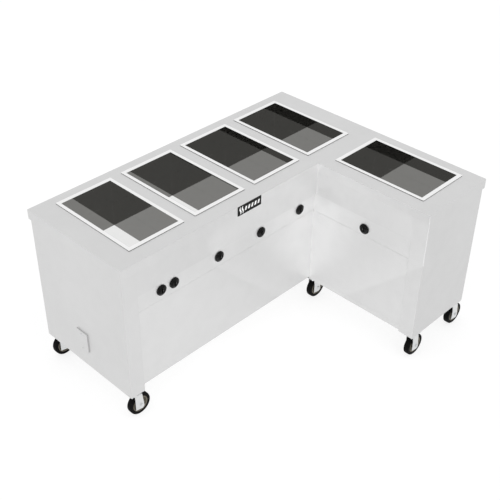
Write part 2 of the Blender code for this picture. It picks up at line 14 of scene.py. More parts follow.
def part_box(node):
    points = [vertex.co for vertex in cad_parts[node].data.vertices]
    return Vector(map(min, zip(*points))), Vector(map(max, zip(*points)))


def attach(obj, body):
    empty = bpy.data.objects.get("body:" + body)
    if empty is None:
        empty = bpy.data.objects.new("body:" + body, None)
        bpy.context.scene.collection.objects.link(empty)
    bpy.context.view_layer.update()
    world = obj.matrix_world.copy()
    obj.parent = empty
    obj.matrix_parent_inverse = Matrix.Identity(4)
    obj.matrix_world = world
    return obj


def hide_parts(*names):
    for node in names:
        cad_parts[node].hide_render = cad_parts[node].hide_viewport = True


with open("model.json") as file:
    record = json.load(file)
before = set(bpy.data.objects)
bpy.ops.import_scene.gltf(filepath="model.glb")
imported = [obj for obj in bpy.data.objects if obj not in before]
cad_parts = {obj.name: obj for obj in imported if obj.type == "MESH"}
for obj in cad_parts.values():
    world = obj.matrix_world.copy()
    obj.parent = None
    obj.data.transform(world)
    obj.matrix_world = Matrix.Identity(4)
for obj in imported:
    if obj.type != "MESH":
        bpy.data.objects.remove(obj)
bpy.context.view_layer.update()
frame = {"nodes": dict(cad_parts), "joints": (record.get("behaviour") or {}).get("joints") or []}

# Places and sizes read from the frame
TOP_LOW, TOP_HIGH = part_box("countertop")
LEFT_LOW, LEFT_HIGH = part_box("end_panel_left")
END_LOW, END_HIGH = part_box("end_panel_front")
SIDE_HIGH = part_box("side_panel_right")[1]
BACK_LOW, BACK_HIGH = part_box("back_panel")
APRON_LOW, APRON_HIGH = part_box("front_apron")
STRIP_LOW, STRIP_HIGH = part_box("control_panel_long")
SHORT_STRIP_LOW, SHORT_STRIP_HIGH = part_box("control_panel_short")
SHORT_LOWER_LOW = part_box("lower_panel_short")[0]
LOWER_LOW, LOWER_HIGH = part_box("lower_panel_long")
LEFT, END, SKIRT_Z = TOP_LOW
RIGHT, BACK, TOP_Z = TOP_HIGH
FRONT = LEFT_LOW.y
INNER = END_LOW.x
BASE_Z = LEFT_LOW.z
BODY_TOP_Z = LEFT_HIGH.z
BODY_RIGHT = SIDE_HIGH.x
BODY_BACK = BACK_HIGH.y
FLANGE = APRON_LOW.x - LEFT
PANEL_DEPTH = STRIP_HIGH.y - STRIP_LOW.y
SEAM_Z = (STRIP_LOW.z + LOWER_HIGH.z) / 2
RECESS_END = APRON_LOW.y

# The cabinet's folded sheets
SHEET = 0.0015
GAP = 0.0003
CORNER_RETURN = 0.025
BASE_RETURN = 0.020
BEAD = 0.0005
BEAD_HEIGHT = 0.031
SEAM = 0.0004
EASED = 0.0003

# Half of a well's opening, and how far the cut-out and the gasket stand off from it
WELL_HALF = (0.152, 0.2595)
CUTOUT_MARGIN = 0.003
GASKET_MARGIN = 0.006

# Sides of large and small round shapes, and the angle below which curved pieces shade smooth
MANY_SIDES = 72
SOME_SIDES = 48
SOFT_ANGLE = 40

CABINET = "cabinet"
CASTERS = ["left_front", "inner_corner", "short_leg_left", "short_leg_right", "right_back", "left_back"]
KNOBS = ["master", "well_1", "well_2", "well_3", "well_4", "well_5"]
WELLS = [f"well_{number}" for number in range(1, 6)]
JOINTS = {joint["name"]: joint for joint in frame["joints"]}


# --- Material nodes ---


class Nodes:
    """A material's node tree, with short calls for the nodes that the finishes share."""

    def __init__(self, name):
        self.material = bpy.data.materials.new(name)
        self.material.use_nodes = True
        self.tree = self.material.node_tree
        self.shader = self.tree.nodes["Principled BSDF"]
        self.place = self.tree.nodes.new("ShaderNodeTexCoord").outputs["Object"]

    def set(self, **values):
        """Sets the shader's own sockets, named with underscores for spaces."""
        for name, value in values.items():
            socket = self.shader.inputs[name.replace("_", " ")]
            socket.default_value = (*value, 1.0) if isinstance(value, tuple) else value
        return self

    def link(self, output, name):
        self.tree.links.new(output, self.shader.inputs[name])
        return self

    def add(self, kind, source, name, **values):
        """A new node with these inputs set, and a source linked to the named one."""
        node = self.tree.nodes.new(f"ShaderNode{kind}")
        for key, value in values.items():
            node.inputs[key.replace("_", " ")].default_value = value
        self.tree.links.new(source, node.inputs[name])
        return node

    def stretched(self, scale):
        """Coordinates stretched by this much along each axis."""
        return self.add("Mapping", self.place, "Vector", Scale=scale).outputs["Vector"]

    def noise(self, scale, detail=3.0, vector=None, roughness=0.5):
        """A noise value between 0 and 1, with this many features a metre."""
        source = vector or self.place
        noise = self.add("TexNoise", source, "Vector", Scale=scale, Detail=detail, Roughness=roughness)
        return noise.outputs["Fac"]

    def cells(self, scale):
        """The random colour of a Voronoi cell, with this many cells a metre."""
        return self.add("TexVoronoi", self.place, "Vector", Scale=scale).outputs["Color"]

    def span(self, value, low, high, start=0.3, end=0.7):
        """Takes a value from start..end to low..high."""
        limits = dict(From_Min=start, From_Max=end, To_Min=low, To_Max=high)
        return self.add("MapRange", value, "Value", **limits).outputs["Result"]

    def ramp(self, value, *stops):
        """A colour ramp through (position, colour) stops."""
        ramp = self.add("ValToRGB", value, "Fac")
        elements = ramp.color_ramp.elements
        while len(elements) < len(stops):
            elements.new(0.5)
        for element, (position, color) in zip(elements, stops):
            element.position = position
            element.color = (*color, 1.0)
        return ramp.outputs["Color"]

    def nearness(self, centre, reach):
        """1 at a centre, falling to 0 at this distance from it."""
        moved = [-place / reach for place in centre]
        mapping = self.add("Mapping", self.place, "Vector", Location=moved, Scale=[1 / reach] * 3)
        gradient = self.add("TexGradient", mapping.outputs["Vector"], "Vector")
        gradient.gradient_type = "QUADRATIC_SPHERE"
        return gradient.outputs["Fac"]

    def bump(self, height, distance, strength=0.5, over=None):
        """A bump of this height, on top of another one if over is given."""
        bump = self.add("Bump", height, "Height", Strength=strength, Distance=distance)
        if over is not None:
            self.tree.links.new(over, bump.inputs["Normal"])
        return bump.outputs["Normal"]

    def finish(self, shade, roughness, normal):
        """The material, with these outputs as its colour, roughness and normal."""
        self.link(shade, "Base Color").link(roughness, "Roughness").link(normal, "Normal")
        return self.material


def tinted(color, factor):
    """A colour made lighter or darker."""
    return tuple(min(1.0, value * factor) for value in color)


GRAIN = {"X": (3.0, 900.0, 900.0), "Y": (900.0, 3.0, 900.0), "Z": (900.0, 900.0, 3.0)}


def brushed_steel(name, grey, roughness, grain, spread=0.014):
    """Satin stainless sheet: a fine grain along one axis, faint clouding and handling marks."""
    nodes = Nodes(name).set(Metallic=1.0)
    lines = nodes.noise(1.0, 4.0, nodes.stretched(GRAIN[grain]), 0.6)
    clouds = nodes.noise(2.2, 4.0)
    smears = nodes.noise(14.0, 3.0)
    dark, light = (tinted((grey, grey, grey), 1 + side * spread) for side in (-1, 1))
    return nodes.finish(
        nodes.ramp(clouds, (0.30, dark), (0.70, light)),
        nodes.span(smears, roughness - 0.03, roughness + 0.05),
        nodes.bump(clouds, 0.0006, 0.05, nodes.bump(lines, 0.00004, 0.25)),
    )


def mirror_steel(name, color, roughness):
    """Bright drawn steel, with faint water marks in its polish."""
    nodes = Nodes(name).set(Metallic=1.0)
    marks = nodes.noise(26.0, 5.0)
    shade = nodes.ramp(marks, (0.35, tinted(color, 0.99)), (0.65, tinted(color, 1.01)))
    nodes.link(shade, "Base Color")
    nodes.link(nodes.span(marks, roughness * 0.7, roughness * 1.5), "Roughness")
    return nodes.material


def moulded_plastic(name, color, roughness, grain=900.0, depth=0.00003, gloss=0.5):
    """Moulded plastic with a fine texture and slightly uneven gloss."""
    nodes = Nodes(name).set(Specular_IOR_Level=gloss)
    broad = nodes.noise(40.0, 3.0)
    return nodes.finish(
        nodes.ramp(broad, (0.35, tinted(color, 0.85)), (0.70, tinted(color, 1.25))),
        nodes.span(broad, roughness - 0.05, roughness + 0.08),
        nodes.bump(nodes.noise(grain, 2.0), depth, 0.4),
    )


def zinc_plate(name, color, roughness):
    """Zinc-plated pressed steel: a faint spangle under a bright passivated coat."""
    nodes = Nodes(name).set(Metallic=1.0)
    cool = (color[0] * 0.97, color[1] * 0.99, color[2] * 1.02)
    return nodes.finish(
        nodes.ramp(nodes.noise(30.0, 3.0), (0.35, cool), (0.65, color)),
        nodes.span(nodes.cells(260.0), roughness - 0.04, roughness + 0.05, 0.0, 1.0),
        nodes.bump(nodes.noise(180.0, 3.0), 0.00005, 0.3),
    )


def tread_rubber(name):
    """Black rubber with a matt skin and paler dust where it has rolled."""
    nodes = Nodes(name).set(Specular_IOR_Level=0.06)
    dust = nodes.noise(70.0, 6.0)
    return nodes.finish(
        nodes.ramp(dust, (0.42, (0.0018, 0.0018, 0.0018)), (0.80, (0.008, 0.0076, 0.007))),
        nodes.span(dust, 0.50, 0.72),
        nodes.bump(nodes.noise(1400.0, 3.0), 0.00006, 0.5),
    )


def oxidised_sheath(name):
    """An element's alloy sheath, dark and mottled by heat."""
    nodes = Nodes(name).set(Metallic=0.8)
    mottle = nodes.noise(60.0, 5.0)
    stops = [(0.30, (0.050, 0.045, 0.045)), (0.55, (0.14, 0.12, 0.11)), (0.80, (0.22, 0.16, 0.12))]
    return nodes.finish(
        nodes.ramp(mottle, *stops),
        nodes.span(mottle, 0.45, 0.65),
        nodes.bump(mottle, 0.0002, 0.3),
    )


def primer_paint(name, color):
    """Grey primer sprayed on welded tube."""
    nodes = Nodes(name)
    broad = nodes.noise(9.0, 3.0)
    return nodes.finish(
        nodes.ramp(broad, (0.35, tinted(color, 0.92)), (0.65, tinted(color, 1.06))),
        nodes.span(broad, 0.5, 0.65),
        nodes.bump(nodes.noise(500.0, 2.0), 0.0001, 0.3),
    )


FLOOR_GLOW = 0.77
CENTRE_GLOW = 0.12


def pale_floor(name, centre, reach):
    """A pale studio floor lit from below like a light table, a little brighter round a centre."""
    nodes = Nodes(name).set(Roughness=0.9, Specular_IOR_Level=0.0, Emission_Color=(1.0, 1.0, 1.0))
    shade = nodes.ramp(nodes.noise(1.5), (0.3, (0.24, 0.24, 0.24)), (0.7, (0.26, 0.26, 0.26)))
    nodes.link(shade, "Base Color")
    glow = nodes.span(nodes.nearness(centre, reach), FLOOR_GLOW, FLOOR_GLOW + CENTRE_GLOW, 0.0, 1.0)
    return nodes.link(glow, "Emission Strength").material


# One stainless steel in copies whose grey is set by the way each face turns to the light: painted light
# and shade. The top and the outer end faces are the darker copies; the recessed panels, fascia, skirt
# and short flange are the lighter ones.
STEEL_TOP = brushed_steel("steel_top", 0.655, 0.42, "X")
STEEL_LONG = brushed_steel("steel_long_panels", 0.71, 0.50, "X")
STEEL_SHORT = brushed_steel("steel_short_panels", 0.715, 0.50, "Y")
STEEL_LEFT_PAINTED_SHADE = brushed_steel("steel_left_end_painted_shade", 0.665, 0.42, "Z")
STEEL_FRONT_PAINTED_SHADE = brushed_steel("steel_front_end_painted_shade", 0.640, 0.42, "Z")
STEEL_FASCIA = brushed_steel("steel_fascia", 0.712, 0.62, "X")
STEEL_FLANGE_PAINTED_LIGHT = brushed_steel("steel_short_flange_painted_light", 0.698, 0.50, "Z")
STEEL_SKIRT = brushed_steel("steel_skirt", 0.692, 0.50, "X")
STEEL_RIM = brushed_steel("steel_well_rim", 0.86, 0.30, "Y", 0.01)
# The liner's walls and floor are one polished steel in two copies: the walls' dark grey is painted
# shade inside the well.
WELL_WALL_PAINTED_SHADE = mirror_steel("steel_well_wall_painted_shade", (0.236, 0.234, 0.226), 0.02)
WELL_FLOOR = mirror_steel("steel_well_floor", (0.785, 0.785, 0.78), 0.02)
# The black strip under each well rim is a gasket, and its black also stands in for the shadow line
# under the rim: painted shade.
GASKET_AND_SHADE = moulded_plastic("silicone_gasket_and_shade", (0.03, 0.03, 0.029), 0.6)
SCREW_STEEL = zinc_plate("screw_steel", (0.55, 0.55, 0.55), 0.30)
ZINC = zinc_plate("caster_zinc", (0.70, 0.70, 0.69), 0.32)
BOLT_ZINC = zinc_plate("bolt_zinc", (0.58, 0.58, 0.60), 0.28)
DARK_SEAL = moulded_plastic("dark_seal", (0.02, 0.02, 0.02), 0.6)
TYRE = tread_rubber("tyre_rubber")
HUB = moulded_plastic("hub_polymer", (0.125, 0.112, 0.085), 0.5, 700.0, 0.00006, 0.25)
KNOB_BLACK = moulded_plastic("knob_phenolic", (0.0025, 0.0025, 0.0025), 0.30, 1200.0, 0.00002, 0.12)
KNOB_MARK = moulded_plastic("knob_mark_grey", (0.16, 0.16, 0.155), 0.5)
PLATE_BLACK = moulded_plastic("nameplate_enamel", (0.005, 0.005, 0.005), 0.3, 1500.0, 0.00001, 0.1)
PLATE_WHITE = moulded_plastic("nameplate_white", (0.90, 0.90, 0.89), 0.45)
SWITCH_BROWN = moulded_plastic("switch_phenolic", (0.20, 0.17, 0.12), 0.55)
ELEMENT = oxidised_sheath("element_sheath")
PRIMER = primer_paint("frame_primer", (0.32, 0.33, 0.33))


# --- Shapes ---


def middle(node):
    """The centre of a node's box, and half its size."""
    low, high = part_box(node)
    return (low + high) / 2, (high - low) / 2


def new_piece(name, shape, *materials):
    """An object made from a finished bmesh, with its materials in slot order."""
    bmesh.ops.recalc_face_normals(shape, faces=shape.faces)
    mesh = bpy.data.meshes.new(name)
    shape.to_mesh(mesh)
    shape.free()
    for material in materials:
        mesh.materials.append(material)
    piece = bpy.data.objects.new(name, mesh)
    bpy.context.scene.collection.objects.link(piece)
    return piece


def smoothed(piece, angle=32):
    """Shades the piece smooth across its rounded edges, and keeps its flat faces flat."""
    piece.data.shade_smooth()
    piece.data.set_sharp_from_angle(angle=math.radians(angle))
    weighted = piece.modifiers.new("Flat faces", "WEIGHTED_NORMAL")
    weighted.keep_sharp = True
    return piece


def applied(piece):
    """The piece with its modifiers made part of its mesh."""
    bpy.context.view_layer.update()
    evaluated = piece.evaluated_get(bpy.context.evaluated_depsgraph_get())
    mesh = bpy.data.meshes.new_from_object(evaluated)
    piece.modifiers.clear()
    piece.data = mesh
    return piece


def cut_by(piece, shape):
    """The piece with a closed shape cut out of it."""
    cutter = new_piece("cutter", shape)
    cut = piece.modifiers.new("Cut", "BOOLEAN")
    cut.object = cutter
    applied(piece)
    bpy.data.objects.remove(cutter)
    return piece


def belongs(piece, body, slot, *nodes):
    """The piece rides on a body and stands for these CAD nodes. The slot is not used."""
    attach(piece, body)
    if nodes:
        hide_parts(*nodes)


def pattern_of(name, shape, angle, *materials):
    """A pattern: a smoothed mesh that several pieces share. It is removed when they are made."""
    return applied(smoothed(new_piece(name, shape, *materials), angle))


def shared(pattern, name, body, slot, place, *nodes):
    """A copy of a pattern that shares its mesh, at a place, riding on a body."""
    piece = bpy.data.objects.new(name, pattern.data)
    bpy.context.scene.collection.objects.link(piece)
    piece.matrix_world = place
    belongs(piece, body, slot, *nodes)


def stack(shape, loops, materials=None, close=False):
    """Skins a list of loops of 3D points, with a face over the first and the last one.

    materials gives a slot for each band between loops, then for the first cap and the last cap.
    With close set, the last loop joins the first instead, and there are no caps.
    """
    rings = [[shape.verts.new(point) for point in loop] for loop in loops]
    count = len(rings[0])
    pairs = list(zip(rings, rings[1:]))
    if close:
        pairs.append((rings[-1], rings[0]))
    slots = materials or [0] * (len(pairs) + 2)
    for (lower, upper), slot in zip(pairs, slots):
        for step in range(count):
            after = (step + 1) % count
            face = shape.faces.new((lower[step], lower[after], upper[after], upper[step]))
            face.material_index = slot
    if not close:
        for ring, slot in ((rings[0], slots[-2]), (rings[-1], slots[-1])):
            shape.faces.new(ring).material_index = slot
    return shape


def quarter(steps):
    """Angles through a quarter turn, from 0 to a right angle."""
    return [math.pi / 2 * step / steps for step in range(steps + 1)]


def level(outline, height):
    """A plan outline as a loop at a height."""
    return [Vector((x, y, height)) for x, y in outline]


def fillet(outline, radii, steps=5):
    """An outline with its corners rounded, all by one radius or each by its own in a list."""
    rounded = []
    count = len(outline)
    if not isinstance(radii, list):
        radii = [radii] * count
    for index, radius in enumerate(radii):
        corner = Vector(outline[index])
        before = (Vector(outline[index - 1]) - corner).normalized()
        after = (Vector(outline[(index + 1) % count]) - corner).normalized()
        half = before.angle(after) / 2
        centre = corner + (before + after).normalized() * (radius / math.sin(half))
        start = corner + before * (radius / math.tan(half)) - centre
        turn = start.angle_signed(corner + after * (radius / math.tan(half)) - centre)
        for step in range(steps + 1):
            arm = start.copy()
            arm.rotate(Matrix.Rotation(-turn * step / steps, 2))
            rounded.append(tuple(centre + arm))
    return rounded


def rectangle(low, high):
    """The corners of a rectangle between two (x, y) corners, anticlockwise."""
    return [low, (high[0], low[1]), high, (low[0], high[1])]


def rounded_box(half_x, half_y, radius, steps=5, centre=(0.0, 0.0)):
    """A rectangle round a centre with rounded corners, anticlockwise."""
    x, y = centre
    return fillet(rectangle((x - half_x, y - half_y), (x + half_x, y + half_y)), radius, steps)


def l_outline(inset):
    """The plan of the L with every side moved in by an amount and its corners rounded."""
    rounded, sharp = 0.003, 0.0006
    corners = [
        (LEFT + inset, FRONT + inset),
        (INNER + inset, FRONT + inset),
        (INNER + inset, END + inset),
        (RIGHT - inset, END + inset),
        (RIGHT - inset, BACK - inset),
        (LEFT + inset, BACK - inset),
    ]
    convex = max(rounded - inset, sharp)
    concave = sharp + inset
    return fillet(corners, [convex, concave, convex, convex, convex, convex])


def bent_sheet(path, thickness, bends=0.0015):
    """The closed section of a sheet bent along an open path, its thickness on the path's left.

    bends is the inner radius of every corner, or a list with one radius for each corner.
    """
    points = [Vector(point) for point in path]
    runs = [(end - start).normalized() for start, end in zip(points, points[1:])]
    lefts = [Vector((-run.y, run.x)) for run in runs]
    radii = bends if isinstance(bends, list) else [bends] * (len(points) - 2)
    near = [points[0]]
    far = [points[0] + lefts[0] * thickness]
    for index, bend in enumerate(radii, start=1):
        before, after = runs[index - 1], runs[index]
        turns_left = before.cross(after) > 0
        near_radius = bend + thickness if turns_left else bend
        far_radius = bend if turns_left else bend + thickness
        outward = -lefts[index - 1] if turns_left else lefts[index - 1]
        centre = points[index] + (after - before) * near_radius
        for angle in quarter(4):
            arm = outward * math.cos(angle) + before * math.sin(angle)
            near.append(centre + arm * near_radius)
            far.append(centre + arm * far_radius)
    near.append(points[-1])
    far.append(points[-1] + lefts[-1] * thickness)
    return [tuple(point) for point in near + far[::-1]]


def swept(shape, section, start, end, axis):
    """A section swept straight along an axis. Its numbers are XY for Z, YZ for X and XZ for Y."""
    spread = {
        "X": lambda u, v, w: Vector((w, u, v)),
        "Y": lambda u, v, w: Vector((u, w, v)),
        "Z": lambda u, v, w: Vector((u, v, w)),
    }[axis]
    return stack(shape, [[spread(u, v, w) for u, v in section] for w in (start, end)])


def turned(shape, profile, segments, place=None, slot=0, close=False):
    """A (radius, height) profile turned about Z, then moved by place."""
    place = place or Matrix.Identity(4)
    angles = [2 * math.pi * step / segments for step in range(segments)]
    loops = []
    for radius, height in profile:
        loops.append(
            [place @ Vector((radius * math.cos(a), radius * math.sin(a), height)) for a in angles]
        )
    return stack(shape, loops, [slot] * (len(profile) + 2), close)


def facing(place, axis):
    """A frame at a place whose Z axis points along an axis."""
    turn = Vector(axis).to_track_quat("Z", "Y").to_matrix().to_4x4()
    return Matrix.Translation(place) @ turn


def drilled(piece, holes, radius=0.005):
    """The piece with a round hole at each (place, axis)."""
    reach = 0.008
    for place, axis in holes:
        cut_by(piece, turned(bmesh.new(), [(radius, -reach), (radius, reach)], 24, facing(place, axis)))
    return piece


def hex_bolt(shape, place, across, height, slot=0):
    """A hexagon head with a chamfered crown, its base at the place."""
    radius = across / math.sqrt(3)
    turned(shape, [(radius, 0), (radius, height * 0.75), (radius * 0.86, height)], 6, place, slot)


def washer(shape, place, radius, height, slot=0):
    """A plain washer with a softened edge."""
    profile = [(radius, 0), (radius, height * 0.7), (radius - height * 0.3, height)]
    turned(shape, profile, 24, place, slot)


def truss_screw(shape, place, radius=0.0045):
    """A low domed screw head with a round recess, its base at the place."""
    dome = [(radius, 0), (radius * 0.97, 0.0006), (radius * 0.8, 0.0013), (radius * 0.45, 0.0017)]
    turned(shape, dome + [(radius * 0.42, 0.0011), (0.0004, 0.0007)], 20, place)


# --- Worktop and wells ---


def tone_skirt(shape, top):
    """Gives each side of the skirt the steel copy of the panels below it, by its slot: painted light
    and shade, each side lighter or darker by the way it faces.
    """
    inner_side, left_side, end_side = 1, 2, 3
    near = 0.01
    shape.normal_update()
    for face in shape.faces:
        place = face.calc_center_median()
        if place.z > top or abs(face.normal.z) > 0.5:
            continue
        if place.x < LEFT + near:
            face.material_index = left_side
        elif place.y < END + near:
            face.material_index = end_side
        else:
            face.material_index = inner_side


def build_countertop():
    """The L-shaped sheet: rolled top edge, turned-down skirt with a hem, and five cut-outs."""
    edge = 0.0035
    sheet = 0.002
    hem, hem_sheet = 0.0045, 0.0010
    hem_low, hem_high = SKIRT_Z + 0.0012, SKIRT_Z + 0.013
    eased = 0.0001
    cut_corner, cut_reach = 0.004, 0.01
    plan = [
        (sheet, TOP_Z - sheet),
        (sheet, hem_high + hem_sheet),
        (hem, hem_high),
        (hem, hem_low),
        (hem - hem_sheet, BODY_TOP_Z),
        (eased, BODY_TOP_Z),
        (0, BODY_TOP_Z + eased),
    ]
    for angle in quarter(5):
        plan.append((edge * (1 - math.cos(angle)), TOP_Z - edge + edge * math.sin(angle)))
    shape = stack(bmesh.new(), [level(l_outline(inset), height) for inset, height in plan])
    tone_skirt(shape, TOP_Z - edge)
    # The top and the skirt's sides take lighter and darker copies of one steel: painted light and
    # shade.
    tones = (STEEL_TOP, STEEL_SKIRT, STEEL_LEFT_PAINTED_SHADE, STEEL_FRONT_PAINTED_SHADE)
    top = new_piece("countertop_sheet", shape, *tones)
    half_x, half_y = (half + CUTOUT_MARGIN for half in WELL_HALF)
    for node in WELLS:
        centre, _ = middle(node)
        outline = rounded_box(half_x, half_y, cut_corner, 5, centre.xy)
        loops = [level(outline, TOP_Z - cut_reach), level(outline, TOP_Z + cut_reach)]
        cut_by(top, stack(bmesh.new(), loops))
    smoothed(top)
    belongs(top, CABINET, "stainless_top", "countertop")


def well_loops(half_x, half_y, rim_low, rim_high, floor):
    """The loops of a liner and their slots, from its floor up the walls and over the rim."""
    rim_slot, wall_slot, floor_slot = 0, 1, 2
    open_x, open_y = WELL_HALF
    corner, rim_corner = 0.0002, 0.004
    fold, roll, edge = 0.0004, 0.0008, 0.0006
    loops = []
    for angle in quarter(4):
        inset = fold * (1 - math.sin(angle))
        outline = rounded_box(open_x - inset, open_y - inset, corner)
        loops.append(level(outline, floor + fold * (1 - math.cos(angle))))
    slots = [wall_slot] * len(loops)
    for angle in quarter(4):
        grow = roll * (1 - math.cos(angle))
        outline = rounded_box(open_x + grow, open_y + grow, corner + grow)
        loops.append(level(outline, rim_high - roll + roll * math.sin(angle)))
    for angle in quarter(4):
        inset = edge * (1 - math.sin(angle))
        outline = rounded_box(half_x - inset, half_y - inset, rim_corner)
        loops.append(level(outline, rim_high - edge * (1 - math.cos(angle))))
    loops.append(level(rounded_box(half_x, half_y, rim_corner), rim_low))
    slots += [rim_slot] * (len(loops) - len(slots))
    outside = rounded_box(open_x + SHEET, open_y + SHEET, rim_corner)
    loops += [level(outside, rim_low), level(outside, floor - SHEET)]
    return loops, slots + [wall_slot, floor_slot, wall_slot]


def build_wells():
    """Five liners, each with a dark strip under the rim: a sealing gasket whose black is also painted
    shade, the rim's shadow line.
    """
    gasket_height = 0.0019
    gasket_corner = 0.003
    inset = 0.0002
    clear = 0.0001
    rim_low = TOP_Z + gasket_height
    gasket_low, gasket_high = TOP_Z + clear, rim_low - clear
    gasket_x, gasket_y = (half + GASKET_MARGIN for half in WELL_HALF)
    for node in WELLS:
        low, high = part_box(node)
        centre, half = middle(node)
        centre.z = 0
        loops, slots = well_loops(half.x, half.y, rim_low, high.z, low.z + SHEET)
        shape = stack(bmesh.new(), loops, slots)
        liner = new_piece(f"{node}_liner", shape, STEEL_RIM, WELL_WALL_PAINTED_SHADE, WELL_FLOOR)
        liner.location = centre
        smoothed(liner, SOFT_ANGLE)
        belongs(liner, CABINET, "stainless_well", node)
        outer = rounded_box(half.x - inset, half.y - inset, gasket_corner)
        inner = rounded_box(gasket_x, gasket_y, gasket_corner)
        ring = [level(outer, gasket_low), level(outer, gasket_high)]
        ring += [level(inner, gasket_high), level(inner, gasket_low)]
        gasket = new_piece(f"{node}_gasket", stack(bmesh.new(), ring, close=True), GASKET_AND_SHADE)
        gasket.location = centre
        belongs(gasket, CABINET, "black_plastic")


# --- Cabinet ---


def cabinet_sheet(name, node, shape, *materials, holes=()):
    """Finishes a sheet of the cabinet, with its holes, and puts it in its node's place."""
    piece = smoothed(drilled(new_piece(name, shape, *materials), holes))
    belongs(piece, CABINET, "stainless_body", node)


def build_end_panels():
    """The two end panels, folded round their corners. Their flanges are flush with the fascia."""
    deep = STRIP_HIGH.y - FRONT
    below = (BASE_Z, APRON_LOW.z)
    beside = (APRON_LOW.z, BODY_TOP_Z)
    back_fold, front_fold, tight = 0.0010, 0.0005, 0.0
    corner = [
        (LEFT + CORNER_RETURN, BODY_BACK),
        (LEFT, BODY_BACK),
        (LEFT, FRONT),
        (LEFT + FLANGE, FRONT),
    ]
    returned = corner + [(LEFT + FLANGE, FRONT + deep)]
    base = rectangle((LEFT + SHEET, FRONT + SHEET), (LEFT + BASE_RETURN, BODY_BACK - SHEET))
    left = bmesh.new()
    swept(left, bent_sheet(returned, SHEET, [back_fold, front_fold, tight]), *below, "Z")
    swept(left, bent_sheet(corner, SHEET, [back_fold, front_fold]), *beside, "Z")
    swept(left, base, BASE_Z, BASE_Z + SHEET, "Z")
    cabinet_sheet("end_panel_left_sheet", "end_panel_left", left, STEEL_LEFT_PAINTED_SHADE)
    corner = [(INNER, RECESS_END), (INNER, END), (END_HIGH.x, END)]
    returned = [(INNER + deep, RECESS_END)] + corner
    base = rectangle((INNER + SHEET, END + SHEET), (END_HIGH.x, END + BASE_RETURN))
    front = bmesh.new()
    swept(front, bent_sheet(returned, SHEET, tight), *below, "Z")
    swept(front, bent_sheet(corner, SHEET, tight), *beside, "Z")
    swept(front, base, BASE_Z, BASE_Z + SHEET, "Z")
    front.normal_update()
    # Flange faces turned to -X take a lighter copy of the sheet's steel than its end face: painted
    # light.
    for face in front.faces:
        if face.normal.x < -0.95:
            face.material_index = 1
    cabinet_sheet("end_panel_front_sheet", "end_panel_front", front, STEEL_FRONT_PAINTED_SHADE, STEEL_FLANGE_PAINTED_LIGHT)


def build_back_and_side():
    """The right side panel with its corner return, and the flat back panel."""
    lap = 0.0006
    tongue_front, tongue_back = END + 0.006, BODY_BACK - 0.004
    base_front = END + 0.022
    inside = BODY_RIGHT - SHEET
    path = [
        (BODY_RIGHT, END + lap),
        (BODY_RIGHT, BODY_BACK),
        (BODY_RIGHT - CORNER_RETURN, BODY_BACK),
    ]
    tongue = rectangle((inside, tongue_front), (BODY_RIGHT, tongue_back))
    base = rectangle((BODY_RIGHT - BASE_RETURN, base_front), (inside, BODY_BACK - SHEET))
    side = bmesh.new()
    swept(side, bent_sheet(path, SHEET), BASE_Z, SKIRT_Z - GAP, "Z")
    swept(side, tongue, SKIRT_Z - GAP, SIDE_HIGH.z, "Z")
    swept(side, base, BASE_Z, BASE_Z + SHEET, "Z")
    cabinet_sheet("side_panel_right_sheet", "side_panel_right", side, STEEL_SHORT)
    path = [
        (BODY_BACK - BASE_RETURN, BASE_Z),
        (BODY_BACK, BASE_Z),
        (BODY_BACK, BACK_HIGH.z),
        (BODY_BACK - BASE_RETURN, BACK_HIGH.z),
    ]
    back = swept(bmesh.new(), bent_sheet(path, SHEET), BACK_LOW.x, BACK_HIGH.x, "X")
    cabinet_sheet("back_panel_sheet", "back_panel", back, STEEL_LONG)


def corner_strip(depth, thickness, fold):
    """The plan of a strip that follows the inner corner of the L, set back by a depth."""
    path = [
        (LEFT + FLANGE, FRONT + depth),
        (INNER + depth, FRONT + depth),
        (INNER + depth, RECESS_END),
    ]
    return bent_sheet(path, thickness, fold)


def build_apron():
    """The fascia: a face bent round the inner corner, with a shelf below and a ledge above."""
    low, high = APRON_LOW.z, APRON_HIGH.z
    shelf = APRON_HIGH.y - SHEET - GAP
    ledge = 0.018
    apron = bmesh.new()
    swept(apron, corner_strip(0, SHEET, 0.0005), low, high, "Z")
    swept(apron, corner_strip(SHEET, shelf, 0.001), low, low + SHEET, "Z")
    swept(apron, corner_strip(SHEET, ledge, 0.001), high - SHEET, high, "Z")
    cabinet_sheet("front_apron_sheet", "front_apron", apron, STEEL_FASCIA)


def channel(face, low, high, bead_z=None):
    """The section of a recessed panel: a flat sheet with a return at its top and bottom.

    With bead_z, the sheet below that height is pressed out by the depth of a bead.
    """
    inside = face + SHEET
    back = face + PANEL_DEPTH
    front = [(face, low)]
    if bead_z is not None:
        front = [(face, bead_z + BEAD), (face - BEAD, bead_z), (face - BEAD, low)]
    corners = [(back, high), (face, high)] + front
    corners += [
        (back, low),
        (back, low + SHEET),
        (inside, low + SHEET),
        (inside, high - SHEET),
        (back, high - SHEET),
    ]
    return fillet(corners, EASED, 2)


